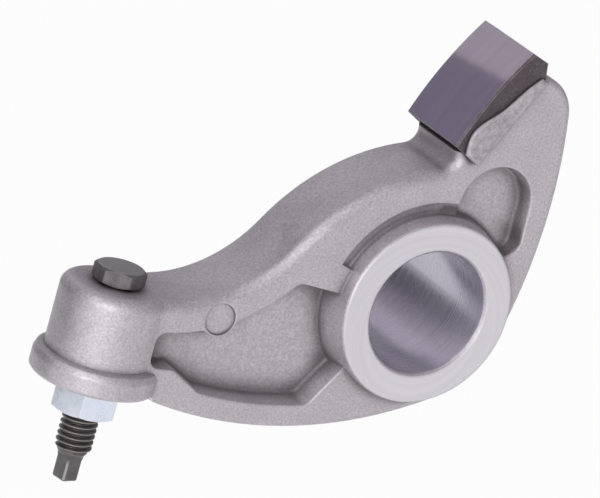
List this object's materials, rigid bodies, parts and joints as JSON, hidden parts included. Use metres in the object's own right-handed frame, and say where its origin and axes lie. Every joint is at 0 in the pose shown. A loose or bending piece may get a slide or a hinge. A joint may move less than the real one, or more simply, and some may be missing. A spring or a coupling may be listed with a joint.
{
  "type": "rocker arm",
  "caption": "Cast rocker arm on a wide shaft hub, with a hardened cam pad on its upper horn and a locked adjusting screw in the boss at its valve end.",
  "frame": {"origin": "on the axis of the rocker shaft's bore, in the middle plane of the arm's two cast faces", "axes": "+X from the adjusting screw towards the cam end, +Y along the bore away from the ring face, +Z along the adjusting screw towards its foot"},
  "size_m": [0.0824, 0.0289, 0.0805],
  "materials": {
    "arm_casting": "shot-blasted die casting, with a turned hub face and a honed bore",
    "cam_pad": "ground running face, rough cast sides",
    "adjusting_screw": "black oxide, worn on the thread",
    "lock_nut": "bright zinc plate"
  },
  "bodies": {
    "arm": {"arm_casting": "arm_casting", "cam_pad": "cam_pad"},
    "screw": {"adjusting_screw": "adjusting_screw"},
    "nut": {"lock_nut": "lock_nut"}
  },
  "joints": [
    {"name": "screw_travel", "type": "slide", "parent": "arm", "child": "screw", "axis": [0, 0, 1], "range_m": [0, 0.006]},
    {"name": "nut_turn", "type": "hinge", "parent": "arm", "child": "nut", "pos_m": [-0.0525, 0, -0.02125], "axis": [0, 0, -1], "range_deg": [0, 180]}
  ]
}
